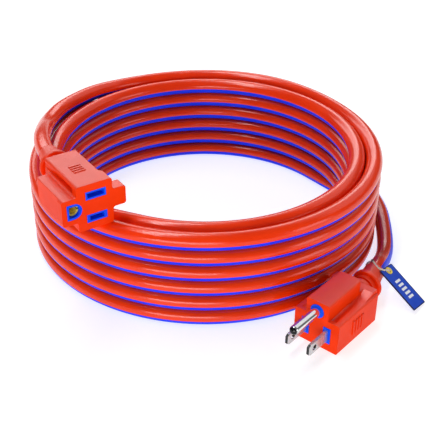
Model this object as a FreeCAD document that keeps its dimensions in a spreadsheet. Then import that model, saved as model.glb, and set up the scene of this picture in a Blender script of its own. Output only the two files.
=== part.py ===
"""Grounded extension cord: 6.8 m of round cord wound in a two-layer coil, with a three-blade plug
at one end, a three-slot connector at the other and a length tag tied on beside the plug.

The origin is on the floor, on the axis of the coil. Millimetres, +Z up.
The plug and the connector are each drawn in a frame of their own: +X out of the mating face,
+Y to the fitting's own left and +Z up, with the origin in the mating face."""

import FreeCAD
import Part
import Sketcher
import math
import os

from FreeCAD import Placement, Rotation, Vector

SIZES = {
    # cord and coil
    "cord_diameter": 9.2,
    "coil_rows": 6,
    "outer_turn_radius": 96.6,
    "inner_turn_radius": 86.9,
    "fit_gap": 0.05,
    "wire_diameter": 2.6,
    "wire_offset": 2.2,
    # sleeve that relieves the cord at each fitting
    "plug_neck_length": 9.5,
    "connector_neck_length": 10.5,
    "neck_diameter": 12.8,
    "neck_groove_depth": 1.2,
    "neck_groove_width": 1.5,
    "flange_thickness": 2.8,
    "flange_diameter": 17.0,
    "collar_length": 13.0,
    "collar_root_diameter": 12.8,
    "collar_tip_diameter": 10.8,
    # plug
    "blade_spacing": 12.7,
    "ground_offset": 11.9,
    "blade_width": 6.35,
    "blade_thickness": 1.5,
    "blade_length": 15.9,
    "blade_hole_diameter": 3.1,
    "blade_hole_from_tip": 4.6,
    "ground_pin_diameter": 4.78,
    "ground_pin_length": 21.4,
    "pin_shoulder": 0.4,
    "plug_width": 26.2,
    "plug_below_blades": 9.3,
    "plug_above_blades": 8.6,
    "plug_length": 35.5,
    "ground_block_width": 13.2,
    "ground_block_top": 17.6,
    "ground_block_length": 29.5,
    "plug_cord_height": 2.0,
    "plug_edge_radius": 1.0,
    "ground_block_back_radius": 2.4,
    "shoulder_height": 2.2,
    "shoulder_length": 4.0,
    "shoulder_sweep_radius": 18.0,
    "shoulder_sweep_length": 9.0,
    "trough_radius": 3.0,
    "trough_depth": 1.0,
    "trough_from_block": 1.5,
    "plug_front_lip": 2.0,
    # blue block moulded round the blades
    "skin_thickness": 2.4,
    "plug_block_depth": 10.0,
    "boss_wall": 1.4,
    # connector
    "connector_tab_side": 9.0,
    "connector_ground_side": 10.2,
    "connector_height": 25.0,
    "connector_length": 35.0,
    "ground_lobe_side": 18.3,
    "ground_lobe_height": 14.0,
    "ground_lobe_length": 29.0,
    "tab_side": 16.1,
    "tab_height": 10.0,
    "tab_rise": 1.1,
    "tab_depth": 7.0,
    "connector_edge_radius": 1.3,
    "side_recess_depth": 3.0,
    "tab_side_recess_depth": 2.3,
    "lobe_recess_depth": 0.7,
    "front_lip": 4.6,
    "roof_thickness": 2.0,
    "slot_rim_width": 11.0,
    "slot_rim_height": 4.4,
    "neutral_slot_width": 9.0,
    "line_slot_width": 7.6,
    "slot_height": 2.4,
    "ground_hole_diameter": 6.0,
    "ground_rim": 1.2,
    "connector_block_depth": 18.0,
    # tag
    "tag_length": 27.1,
    "tag_width": 12.0,
    "tag_thickness": 0.6,
    "tag_corner_radius": 0.8,
    "eyelet_from_edge": 2.6,
    "eyelet_hole_diameter": 2.4,
    "eyelet_rim_diameter": 4.2,
    "string_diameter": 1.1,
    "string_bend_radius": 2.0,
    "loop_slack": 2.0,
}

# where each fitting's face is, and the compass angle it points along, in degrees from +X
PLUG_FACE = Vector(54.9, -113.9, 9.35)
PLUG_HEADING = -130.9
PLUG_COLLAR_BEND = 15.0
CONNECTOR_FACE = Vector(-52.5, -90.9, 68.1)
CONNECTOR_HEADING = -57.0
CONNECTOR_COLLAR_BEND = -10.0

# the cord's centre line where it isn't coiled, from inside each fitting to where it joins the coil
CONNECTOR_ROUTE = [
    (-69.93, -64.06, 68.1),
    (-79.40, -49.47, 68.1),
    (-87.6, -30.1, 67.3),
    (-90.8, -15.8, 66.0),
    (-92.1, -1.6, 62.9),
    (-93.0, 12.0, 59.4),
    (-91.6, 25.5, 57.8),
    (-88.2, 39.0, 57.0),
    (-81.9, 51.4, 56.2),
]
PLUG_ROUTE = [
    (74.54, -91.22, 11.35),
    (85.28, -78.83, 11.35),
    (93.6, -61.7, 10.7),
    (98.6, -50.4, 6.9),
    (102.5, -38.0, 4.9),
    (104.7, -24.5, 4.65),
    (106.1, -9.5, 4.65),
    (106.8, 7.0, 4.65),
    (103.0, 27.6, 5.4),
    (95.0, 48.4, 10.4),
    (82.8, 67.1, 18.9),
    (67.0, 82.8, 28.6),
    (48.2, 94.6, 36.8),
    (27.0, 100.6, 41.0),
    (5.3, 100.4, 41.4),
    (-15.3, 96.3, 41.4),
    (-34.6, 90.2, 41.4),
]

# the tag hangs from a loop of string round the cord beside the plug
TAG_NEAR_EDGE = Vector(96.3, -69.1, 15.3)
TAG_HEADING = -43.9
TAG_SLOPE = 30.3
TAG_ROLL = -8.0
LOOP_CENTRE = Vector(92.7, -63.4, 11.0)

doc = FreeCAD.newDocument("extension_cord")
sheet = doc.addObject("Spreadsheet::Sheet", "Sizes")
for row, (alias, value) in enumerate(SIZES.items(), start=1):
    sheet.set(f"A{row}", alias)
    sheet.set(f"B{row}", str(value))
    sheet.setAlias(f"B{row}", alias)
doc.recompute()


def size(alias):
    """The value in the sheet's cell of that name."""
    return float(getattr(sheet, alias))


def cell(formula):
    """A formula written with bare aliases and words, as the document's expression for it."""
    words = []
    for word in formula.split():
        words.append("Sizes." + word if word in SIZES else word)
    return " ".join(words)


# ---------------------------------------------------------------- sketches and features


def new_body(name):
    body = doc.addObject("PartDesign::Body", name)
    body.Label = name
    return body


def new_sketch(body, name, plane, offset="0"):
    """A sketch on one of the body's own planes, moved along the plane's normal by offset."""
    sketch = body.newObject("Sketcher::SketchObject", name)
    for feature in body.Origin.OriginFeatures:
        if feature.Role == plane:
            sketch.AttachmentSupport = [(feature, "")]
    sketch.MapMode = "FlatFace"
    sketch.setExpression("AttachmentOffset.Base.z", cell(offset))
    return sketch


def pin_point(sketch, line, end, across, up):
    """Holds one end of a line at the place that two formulas give."""
    for kind, formula in (("DistanceX", across), ("DistanceY", up)):
        index = sketch.addConstraint(Sketcher.Constraint(kind, -1, 1, line, end, 1.0))
        sketch.setExpression(f"Constraints[{index}]", cell(formula))


def draw_polygon(sketch, corners):
    """A closed outline whose corners are pairs of formulas."""
    count = len(corners)
    first = sketch.GeometryCount
    for index in range(count):
        angle = 2 * math.pi * index / count
        following = 2 * math.pi * (index + 1) / count
        start = Vector(math.cos(angle), math.sin(angle), 0)
        end = Vector(math.cos(following), math.sin(following), 0)
        sketch.addGeometry(Part.LineSegment(start, end))
    for index in range(count):
        after = first + (index + 1) % count
        sketch.addConstraint(Sketcher.Constraint("Coincident", first + index, 2, after, 1))
        pin_point(sketch, first + index, 1, *corners[index])


def draw_rectangle(sketch, left, right, low, high):
    draw_polygon(sketch, [(left, low), (right, low), (right, high), (left, high)])


def draw_circle(sketch, across, up, diameter):
    circle = sketch.addGeometry(Part.Circle(Vector(0, 0, 0), Vector(0, 0, 1), 1))
    pin_point(sketch, circle, 3, across, up)
    width = sketch.addConstraint(Sketcher.Constraint("Diameter", circle, 2.0))
    sketch.setExpression(f"Constraints[{width}]", cell(diameter))


def add_pad(body, sketch, length, backwards=False, both_ways=False):
    pad = body.newObject("PartDesign::Pad", sketch.Name + "_pad")
    pad.Profile = sketch
    pad.setExpression("Length", cell(length))
    pad.Reversed = backwards
    pad.Midplane = both_ways
    doc.recompute()
    return pad


def add_pocket(body, sketch, depth, backwards=False, both_ways=False):
    """A pocket that has to take something away."""
    before = body.Shape.Volume
    pocket = body.newObject("PartDesign::Pocket", sketch.Name + "_pocket")
    pocket.Profile = sketch
    pocket.setExpression("Length", cell(depth))
    pocket.Reversed = backwards
    pocket.Midplane = both_ways
    doc.recompute()
    if body.Shape.Volume >= before - 1e-6:
        raise ValueError(f"{pocket.Name} cuts nothing")
    return pocket


def add_revolution(body, sketch, axis):
    turn = body.newObject("PartDesign::Revolution", sketch.Name + "_turned")
    turn.Profile = sketch
    turn.ReferenceAxis = (sketch, [axis])
    turn.Angle = 360
    doc.recompute()
    return turn


def round_edges(body, radius, wanted):
    """Rounds the edges of the body's last feature for which wanted(edge) is true."""
    base = body.Tip
    names = []
    for index, edge in enumerate(base.Shape.Edges, start=1):
        if wanted(edge):
            names.append(f"Edge{index}")
    fillet = body.newObject("PartDesign::Fillet", base.Name + "_rounded")
    fillet.Base = (base, names)
    fillet.setExpression("Radius", cell(radius))
    doc.recompute()
    return fillet


def runs_along(edge, direction):
    """True for a straight edge parallel to direction."""
    if edge.Curve.TypeId != "Part::GeomLine":
        return False
    return edge.Curve.Direction.cross(direction).Length < 1e-6


# ---------------------------------------------------------------- cords and wires


def route_wire(points):
    """Straight runs joined by tangent arcs, each as large as its two runs allow."""
    points = [Vector(*point) for point in points]
    edges = []
    radii = []
    start = points[0]
    for before, corner, after in zip(points, points[1:], points[2:]):
        arriving = (corner - before).normalize()
        leaving = (after - corner).normalize()
        half_turn = arriving.getAngle(leaving) / 2
        shorter = min((corner - before).Length, (after - corner).Length)
        setback = 0.45 * shorter
        radius = setback / math.tan(half_turn)
        first = corner - arriving * setback
        last = corner + leaving * setback
        inward = (leaving - arriving).normalize()
        sagitta = radius / math.cos(half_turn) - radius
        edges.append(Part.LineSegment(start, first).toShape())
        edges.append(Part.Arc(first, corner + inward * sagitta, last).toShape())
        radii.append(radius)
        start = last
    edges.append(Part.LineSegment(start, points[-1]).toShape())
    return Part.Wire(edges), radii


def tube_along(points, diameter):
    """A round solid along a route."""
    spine, radii = route_wire(points)
    heading = (Vector(*points[1]) - Vector(*points[0])).normalize()
    profile = Part.Wire(Part.makeCircle(diameter / 2, Vector(*points[0]), heading))
    tube = spine.makePipeShell([profile], True, False)
    return tube, spine.Length, radii


def add_solid(name, shape, placement=None):
    part = doc.addObject("Part::Feature", name)
    part.Label = name
    part.Shape = shape
    if placement:
        part.Placement = placement
    return part


def add_cut(name, base, tools):
    """base with each tool's shape taken away in turn."""
    for tool in tools:
        cut = doc.addObject("Part::Cut", f"{name}_less_{tool.Name}")
        cut.Base = base
        cut.Tool = tool
        doc.recompute()
        if base.Shape.Volume - cut.Shape.Volume < 1:
            raise ValueError(f"{tool.Name} takes nothing from {name}")
        base = cut
    base.Label = name
    return base


def frame_of(face, heading):
    return Placement(face, Rotation(Vector(0, 0, 1), heading))


PLUG_FRAME = frame_of(PLUG_FACE, PLUG_HEADING)
CONNECTOR_FRAME = frame_of(CONNECTOR_FACE, CONNECTOR_HEADING)


def to_frame(point, frame):
    """A point of the part's frame, in a fitting's own frame."""
    return frame.inverse().multVec(Vector(*point))


# ---------------------------------------------------------------- coil and the cord's free ends


def make_coil():
    body = new_body("cord_coil")
    sketch = new_sketch(body, "coil_section", "XZ_Plane")
    inner = "inner_turn_radius - cord_diameter / 2"
    outer = "outer_turn_radius + cord_diameter / 2"
    draw_rectangle(sketch, inner, outer, "0", "cord_diameter * coil_rows")
    add_revolution(body, sketch, "V_Axis")
    round_edges(body, "cord_diameter * 0.49", lambda edge: edge.Curve.TypeId == "Part::GeomCircle")
    return body


def make_free_end(name, route):
    tube, length, radii = tube_along(route, size("cord_diameter"))
    section = math.pi * (size("cord_diameter") / 2) ** 2
    print(f"{name}: length {length:.1f}, radii", " ".join(f"{radius:.0f}" for radius in radii))
    print(f"{name}: volume {tube.Volume:.0f} against section times length {section * length:.0f}")
    return add_solid(name, tube)


def cord_cutter(name, route, frame):
    """The cord with its fit gap all round, in a fitting's own frame, to bore the fitting."""
    local = [to_frame(point, frame) for point in route[:4]]
    local[0] = local[0] + Vector(size("fit_gap"), 0, 0)
    tube, _, _ = tube_along(local, size("cord_diameter") + 2 * size("fit_gap"))
    return add_solid(name, tube)


# ---------------------------------------------------------------- strain relief sleeves


def make_sleeve(name, start, neck_length, cord_height, bend, cutter, frame):
    """A ribbed neck and a round flange on the fitting's axis, then a tapered collar that the
    bend of the cord has pulled round by a few degrees."""
    body = new_body(name + "_neck")
    sketch = new_sketch(body, name + "_profile", "XZ_Plane")
    neck = "neck_diameter / 2"
    groove = "neck_diameter / 2 - neck_groove_depth"
    step = f"{neck_length} / 5"
    corners = [("0", "0"), ("0", neck)]
    for rib in (1, 3):
        near = f"( -1 ) * {step} * {rib}"
        far = near + " - neck_groove_width"
        corners += [(near, neck), (near, groove), (far, groove), (far, neck)]
    flange_end = f"( -1 ) * {neck_length} - flange_thickness"
    corners += [
        (f"( -1 ) * {neck_length}", neck),
        (f"( -1 ) * {neck_length}", "flange_diameter / 2"),
        (flange_end, "flange_diameter / 2"),
        (flange_end, "0"),
    ]
    draw_polygon(sketch, corners)
    add_revolution(body, sketch, "H_Axis")
    rim = size("flange_diameter") / 2 - 1e-3
    round_edges(
        body,
        "flange_thickness * 0.3",
        lambda edge: edge.Curve.TypeId == "Part::GeomCircle" and edge.Curve.Radius > rim,
    )
    body.Placement = Placement(Vector(-start, 0, cord_height), Rotation())

    collar = doc.addObject("Part::Cone", name + "_collar")
    collar.setExpression("Radius1", cell("collar_root_diameter / 2"))
    collar.setExpression("Radius2", cell("collar_tip_diameter / 2"))
    collar.setExpression("Height", cell("collar_length"))
    middle = start + size(neck_length) + size("flange_thickness") / 2
    backwards = Rotation(Vector(0, 0, 1), Vector(-1, 0, 0))
    turned = Rotation(Vector(0, 0, 1), bend)
    collar.Placement = Placement(Vector(-middle, 0, cord_height), turned.multiply(backwards))

    joined = doc.addObject("Part::Fuse", name + "_joined")
    joined.Base = body
    joined.Tool = collar
    sleeve = add_cut(name, joined, [cutter])
    sleeve.Placement = frame
    return sleeve


# ---------------------------------------------------------------- insulated conductors


def make_conductor(name, start, end, frame):
    """An insulated conductor from a crimp barrel to the cut end of the cord's jacket: straight out
    of the barrel, across, and straight into the jacket. Returns the piece and its bore."""
    start = Vector(*start)
    end = Vector(*end)
    reach = start.x - end.x
    route = [
        start,
        start - Vector(0.28 * reach, 0, 0),
        end + Vector(0.28 * reach, 0, 0),
        end,
    ]
    wire, _, _ = tube_along(route, size("wire_diameter"))
    overlap = Vector(0.3, 0, 0)
    longer = [start + overlap, route[1], route[2], end - overlap]
    bore, _, _ = tube_along(longer, size("wire_diameter") + 2 * size("fit_gap"))
    return add_solid(name, wire, frame), add_solid(name + "_bore", bore)


# ---------------------------------------------------------------- plug


def make_blade(name, side):
    """A flat blade with a hole near its tip, a narrower root and a crimp barrel behind it."""
    body = new_body(name)
    flat = new_sketch(body, name + "_flat", "XZ_Plane")
    half = "blade_width / 2"
    root = "( -1 ) * skin_thickness - plug_block_depth"
    tip = "blade_length"
    nose = "blade_length - blade_thickness"
    draw_polygon(
        flat,
        [
            (root, "( -1 ) * blade_width / 3"),
            ("( -1 ) * skin_thickness", "( -1 ) * blade_width / 3"),
            ("( -1 ) * skin_thickness", "( -1 ) * " + half),
            (nose, "( -1 ) * " + half),
            (tip, "( -1 ) * blade_width / 3"),
            (tip, "blade_width / 3"),
            (nose, half),
            ("( -1 ) * skin_thickness", half),
            ("( -1 ) * skin_thickness", "blade_width / 3"),
            (root, "blade_width / 3"),
        ],
    )
    add_pad(body, flat, "blade_thickness", both_ways=True)
    hole = new_sketch(body, name + "_hole", "XZ_Plane")
    draw_circle(hole, "blade_length - blade_hole_from_tip", "0", "blade_hole_diameter")
    add_pocket(body, hole, "blade_thickness * 2", both_ways=True)
    barrel = new_sketch(body, name + "_barrel", "YZ_Plane", root)
    draw_circle(barrel, "0", "0", "wire_diameter + blade_thickness")
    add_pad(body, barrel, "plug_block_depth * 0.4", backwards=True)
    beside = Placement(Vector(0, side * size("blade_spacing") / 2, 0), Rotation())
    body.Placement = PLUG_FRAME.multiply(beside)
    return body


def make_ground_pin():
    """A round pin with a domed tip and a crimp barrel behind it."""
    body = new_body("ground_pin")
    sketch = new_sketch(body, "ground_pin_profile", "XZ_Plane")
    radius = "ground_pin_diameter / 2"
    barrel = "( wire_diameter + blade_thickness ) / 2"
    root = "( -1 ) * skin_thickness - plug_block_depth"
    back = root + " - plug_block_depth * 0.4"
    draw_polygon(
        sketch,
        [
            (back, "0"),
            ("ground_pin_length", "0"),
            ("ground_pin_length", radius),
            ("pin_shoulder", radius),
            ("pin_shoulder", f"{radius} * 0.9"),
            (root, f"{radius} * 0.9"),
            (root, barrel),
            (back, barrel),
        ],
    )
    add_revolution(body, sketch, "H_Axis")
    reach = size("ground_pin_length")
    round_edges(
        body,
        "ground_pin_diameter * 0.48",
        lambda edge: edge.Curve.TypeId == "Part::GeomCircle" and edge.Curve.Center.x > reach - 1e-3,
    )
    body.Placement = PLUG_FRAME.multiply(Placement(Vector(0, 0, size("ground_offset")), Rotation()))
    return body


def draw_blade_openings(sketch, gap):
    """The outlines of the two blades, with gap all round."""
    for side in ("1", "( -1 )"):
        middle = f"{side} * blade_spacing / 2"
        across = f"( blade_thickness / 2 + {gap} )"
        tall = f"( blade_width / 2 + {gap} )"
        draw_rectangle(
            sketch,
            f"{middle} - {across}",
            f"{middle} + {across}",
            f"( -1 ) * {tall}",
            tall,
        )


def make_plug_block(name, gap, bored):
    """The blue block: a plate behind the orange skin and a boss round each blade that comes
    through it. With a gap and not bored, it is the cavity that the block sits in."""
    body = new_body(name)
    behind = "( -1 ) * skin_thickness"
    lower = new_sketch(body, name + "_lower", "YZ_Plane", f"{behind} + {gap}")
    half = f"( blade_spacing / 2 + 4 + {gap} )"
    draw_rectangle(lower, f"( -1 ) * {half}", half, f"( -1 ) * ( 5 + {gap} )", f"5 + {gap}")
    add_pad(body, lower, f"plug_block_depth + 2 * {gap}", backwards=True)
    upper = new_sketch(body, name + "_upper", "YZ_Plane", f"{behind} + {gap}")
    narrow = f"( 4.2 + {gap} )"
    draw_rectangle(upper, f"( -1 ) * {narrow}", narrow, "0", f"ground_offset + 3.8 + {gap}")
    add_pad(body, upper, f"plug_block_depth + 2 * {gap}", backwards=True)
    bosses = new_sketch(body, name + "_bosses", "YZ_Plane", behind)
    draw_blade_openings(bosses, f"boss_wall + {gap}")
    draw_circle(bosses, "0", "ground_offset", f"ground_pin_diameter + 2 * boss_wall + 2 * {gap}")
    add_pad(body, bosses, "skin_thickness + 0.3" if bored else "skin_thickness + 1")
    if bored:
        openings = new_sketch(body, name + "_openings", "YZ_Plane")
        draw_blade_openings(openings, "fit_gap")
        draw_circle(openings, "0", "ground_offset", "ground_pin_diameter + 2 * fit_gap")
        add_pocket(body, openings, "plug_block_depth * 4", both_ways=True)
        body.Placement = PLUG_FRAME
    return body


def make_plug_shell():
    """The outside of the plug: a wide block round the two blades, a narrower block above it round
    the ground pin, a raised shoulder at the back and grip ribs on both sides."""
    body = new_body("plug_outside")
    half = "plug_width / 2"
    wide = new_sketch(body, "plug_wide_block", "YZ_Plane")
    draw_rectangle(wide, f"( -1 ) * {half}", half, "( -1 ) * plug_below_blades", "plug_above_blades")
    add_pad(body, wide, "plug_length", backwards=True)
    narrow = new_sketch(body, "plug_narrow_block", "YZ_Plane")
    half = "ground_block_width / 2"
    draw_rectangle(narrow, f"( -1 ) * {half}", half, "0", "ground_block_top")
    add_pad(body, narrow, "ground_block_length", backwards=True)
    step = size("plug_above_blades")
    back = -size("ground_block_length")
    foot = size("ground_block_width") / 2

    def upright_at_back(edge):
        return runs_along(edge, Vector(0, 0, 1)) and abs(edge.CenterOfMass.x - back) < 0.01

    def outer_edge(edge):
        middle = edge.CenterOfMass
        inside_corner = abs(middle.z - step) < 0.1 and abs(middle.y) < foot + 0.1
        return runs_along(edge, Vector(1, 0, 0)) and edge.Length > 20 and not inside_corner

    round_edges(body, "ground_block_back_radius", upright_at_back)
    round_edges(body, "plug_edge_radius", outer_edge)
    shoulder = new_sketch(body, "plug_shoulder", "XZ_Plane")
    rear = "( -1 ) * plug_length"
    top = "plug_above_blades + shoulder_height"
    draw_rectangle(shoulder, rear, f"{rear} + shoulder_length + shoulder_sweep_length", "0", top)
    add_pad(body, shoulder, "plug_width - 2 * plug_edge_radius", both_ways=True)
    ribs = new_sketch(body, "plug_grip_ribs", "XZ_Plane")
    for rib in range(4):
        left = f"( -1 ) * plug_length * 0.62 + 2.6 * {rib}"
        draw_rectangle(ribs, left, f"{left} + 1.3", "( -1 ) * 4.2", "4.2")
    add_pad(body, ribs, "plug_width + 0.9", both_ways=True)
    return body


def rounded_cutter(name, side, radius, axis_point, direction, length):
    """A cylinder kept to one side of the plug's narrow block, to sweep out a hollow beside it."""
    rod = doc.addObject("Part::Cylinder", f"{name}_rod_{side}")
    rod.setExpression("Radius", cell(radius))
    rod.Height = length
    rod.Placement = Placement(axis_point, Rotation(Vector(0, 0, 1), direction))
    keep = doc.addObject("Part::Box", f"{name}_side_{side}")
    keep.setExpression("Length", cell("plug_length + shoulder_length - plug_front_lip"))
    keep.setExpression("Width", cell("plug_width / 2"))
    keep.Height = 60
    near = size("ground_block_width") / 2
    low = near if side > 0 else -near - size("plug_width") / 2
    keep.Placement.Base = Vector(-size("plug_length") - size("shoulder_length"), low, 0)
    kept = doc.addObject("Part::Common", f"{name}_{side}")
    kept.Base = rod
    kept.Tool = keep
    doc.recompute()
    return kept


def plug_hollows():
    """Beside the narrow block, a trough that starts behind the front lip and fades out where the
    curve that sweeps up to the shoulder begins."""
    step = size("plug_above_blades")
    front = -size("plug_front_lip")
    trough = size("trough_radius")
    sweep = size("shoulder_sweep_radius")
    crest = -size("plug_length") + size("shoulder_length")
    reach = math.sqrt(sweep**2 - (sweep - size("shoulder_height")) ** 2)
    fade = front - crest - reach
    rise = size("trough_depth") / fade
    cutters = []
    for side in (1, -1):
        across = side * (size("ground_block_width") / 2 + size("trough_from_block"))
        start = Vector(front, across, step + trough - size("trough_depth"))
        backwards = Vector(-1, 0, rise)
        cutters.append(rounded_cutter("plug_trough", side, "trough_radius", start, backwards, fade))
        middle = Vector(crest + reach, side * size("plug_width"), step + sweep)
        inwards = Vector(0, -side, 0)
        cutters.append(
            rounded_cutter("plug_sweep", side, "shoulder_sweep_radius", middle, inwards, size("plug_width"))
        )
    return cutters


def make_plug():
    make_plug_block("plug_inner_block", "0", True)
    cavity = make_plug_block("plug_cavity", "fit_gap", False)
    make_blade("line_blade", 1)
    make_blade("neutral_blade", -1)
    make_ground_pin()
    cutter = cord_cutter("plug_cord_bore", PLUG_ROUTE, PLUG_FRAME)

    jacket_end = to_frame(PLUG_ROUTE[0], PLUG_FRAME).x + size("fit_gap")
    barrel_end = -size("skin_thickness") - 1.4 * size("plug_block_depth")
    beside = size("wire_offset")
    spread = size("blade_spacing") / 2
    axis = size("plug_cord_height")
    tools = [cavity, cutter]
    ends = {
        "plug_line_wire": ((barrel_end, spread, 0), (jacket_end, beside, 0)),
        "plug_neutral_wire": ((barrel_end, -spread, 0), (jacket_end, -beside, 0)),
        "plug_ground_wire": ((barrel_end, 0, size("ground_offset")), (jacket_end, 0, axis + beside)),
    }
    barrel_length = 0.4 * size("plug_block_depth") + 2 * size("fit_gap")
    barrel_bore = (size("wire_diameter") + size("blade_thickness")) / 2 + size("fit_gap")
    for name, (start, end) in ends.items():
        _, bore = make_conductor(name, start, end, PLUG_FRAME)
        tools.append(bore)
        mouth = Vector(*start) - Vector(size("fit_gap"), 0, 0)
        barrel = Part.makeCylinder(barrel_bore, barrel_length, mouth, Vector(1, 0, 0))
        tools.append(add_solid(name + "_barrel_bore", barrel))
    shell = add_cut("plug_body", make_plug_shell(), plug_hollows() + tools)
    shell.Placement = PLUG_FRAME
    make_sleeve(
        "plug_strain_relief",
        size("plug_length"),
        "plug_neck_length",
        axis,
        PLUG_COLLAR_BEND,
        cutter,
        PLUG_FRAME,
    )


# ---------------------------------------------------------------- connector


def draw_d_shape(sketch, diameter):
    """A ground hole's outline: round towards the slots and flat on the far side."""
    half = f"( {diameter} ) / 2"
    corners = [(f"( -1 ) * ground_offset - {half} * 0.9", f"( -1 ) * {half}")]
    facets = 16
    for index in range(facets + 1):
        angle = math.pi * (index / facets - 0.5)
        across = f"( -1 ) * ground_offset + {half} * {math.cos(angle):.5f}"
        corners.append((across, f"{half} * ( {math.sin(angle):.5f} )"))
    corners.append((f"( -1 ) * ground_offset - {half} * 0.9", half))
    draw_polygon(sketch, corners)


def draw_pair(sketch, widths, height, grow="0"):
    """One rectangle for the neutral opening, above, and one for the line opening, below."""
    for side, width in zip(("1", "( -1 )"), widths):
        middle = f"{side} * blade_spacing / 2"
        half_width = f"( {width} / 2 + {grow} )"
        half_height = f"( {height} / 2 + {grow} )"
        draw_rectangle(
            sketch,
            f"( -1 ) * {half_width}",
            half_width,
            f"{middle} - {half_height}",
            f"{middle} + {half_height}",
        )


def make_connector_block(name, gap, bored):
    """The blue block behind the connector's skin, with a rim round each opening that comes
    through it. With a gap and not bored, it is the cavity that the block sits in."""
    body = new_body(name)
    behind = "( -1 ) * skin_thickness"
    tall = f"( blade_spacing / 2 + 3.6 + {gap} )"
    half = f"( 5.9 + {gap} )"
    middle = new_sketch(body, name + "_middle", "YZ_Plane", f"{behind} + {gap}")
    draw_rectangle(middle, f"( -1 ) * {half}", half, f"( -1 ) * {tall}", tall)
    add_pad(body, middle, f"connector_block_depth + 2 * {gap}", backwards=True)
    side = new_sketch(body, name + "_side", "YZ_Plane", f"{behind} + {gap}")
    far = f"( -1 ) * ( ground_offset + 4.8 + {gap} )"
    draw_rectangle(side, far, "0", f"( -1 ) * ( 5 + {gap} )", f"5 + {gap}")
    add_pad(body, side, f"connector_block_depth + 2 * {gap}", backwards=True)
    rims = new_sketch(body, name + "_rims", "YZ_Plane", behind)
    draw_pair(rims, ("slot_rim_width", "slot_rim_width"), "slot_rim_height", gap)
    draw_d_shape(rims, f"ground_hole_diameter + 2 * ground_rim + 2 * {gap}")
    add_pad(body, rims, "skin_thickness" if bored else "skin_thickness + 1")
    if bored:
        openings = new_sketch(body, name + "_openings", "YZ_Plane", "1")
        draw_pair(openings, ("neutral_slot_width", "line_slot_width"), "slot_height")
        draw_d_shape(openings, "ground_hole_diameter")
        add_pocket(body, openings, "skin_thickness + 3")
        chambers = new_sketch(body, name + "_chambers", "YZ_Plane", "( -1 ) * skin_thickness - 2")
        for sign in ("1", "( -1 )"):
            centre = f"{sign} * blade_spacing / 2"
            draw_rectangle(chambers, "( -1 ) * 5", "5", f"{centre} - 2.3", f"{centre} + 2.3")
        add_pocket(body, chambers, "connector_block_depth * 2")
        round_chamber = new_sketch(body, name + "_round_chamber", "YZ_Plane", "( -1 ) * skin_thickness + 0.4")
        draw_circle(round_chamber, "( -1 ) * ground_offset", "0", "7.6")
        add_pocket(body, round_chamber, "connector_block_depth * 2")
        body.Placement = CONNECTOR_FRAME
    return body


def make_blade_contact(name, side):
    """A folded brass strip: two leaves that grip a blade, a web behind them and a crimp barrel."""
    body = new_body(name)
    fork = new_sketch(body, name + "_fork", "XZ_Plane")
    front = "( -1 ) * skin_thickness - 2.4"
    web = "( -1 ) * connector_block_depth"
    draw_polygon(
        fork,
        [
            (web, "( -1 ) * 1.9"),
            (f"{front} - 1.5", "( -1 ) * 1.9"),
            (front, "( -1 ) * 2.2"),
            (front, "( -1 ) * 1.5"),
            (f"{front} - 3", "( -1 ) * 0.8"),
            (f"{web} + 1.2", "( -1 ) * 1.1"),
            (f"{web} + 1.2", "1.1"),
            (f"{front} - 3", "0.8"),
            (front, "1.5"),
            (front, "2.2"),
            (f"{front} - 1.5", "1.9"),
            (web, "1.9"),
        ],
    )
    add_pad(body, fork, "line_slot_width - 0.6", both_ways=True)
    barrel = new_sketch(body, name + "_barrel", "YZ_Plane", web)
    draw_circle(barrel, "0", "0", "3.7")
    add_pad(body, barrel, "6", backwards=True)
    height = side * size("blade_spacing") / 2
    body.Placement = CONNECTOR_FRAME.multiply(Placement(Vector(0, 0, height), Rotation()))
    return body


def make_ground_contact():
    """A split brass tube that grips the ground pin, closed by a web and a crimp barrel."""
    body = new_body("ground_contact")
    front = "( -1 ) * skin_thickness + 0.2"
    sleeve = new_sketch(body, "ground_contact_sleeve", "YZ_Plane", front)
    draw_circle(sleeve, "0", "0", "6.4")
    add_pad(body, sleeve, "connector_block_depth - skin_thickness + 0.2", backwards=True)
    mouth = new_sketch(body, "ground_contact_mouth", "YZ_Plane", front)
    draw_circle(mouth, "0", "0", "ground_pin_diameter + 0.12")
    add_pocket(body, mouth, "connector_block_depth - 6")
    slit = new_sketch(body, "ground_contact_slit", "XZ_Plane")
    draw_rectangle(slit, "( -1 ) * connector_block_depth + 4", "0", "( -1 ) * 0.5", "0.5")
    add_pocket(body, slit, "5")
    web = "( -1 ) * connector_block_depth"
    barrel = new_sketch(body, "ground_contact_barrel", "YZ_Plane", web)
    draw_circle(barrel, "0", "0", "3.7")
    add_pad(body, barrel, "6", backwards=True)
    body.Placement = CONNECTOR_FRAME.multiply(Placement(Vector(0, -size("ground_offset"), 0), Rotation()))
    return body


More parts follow.
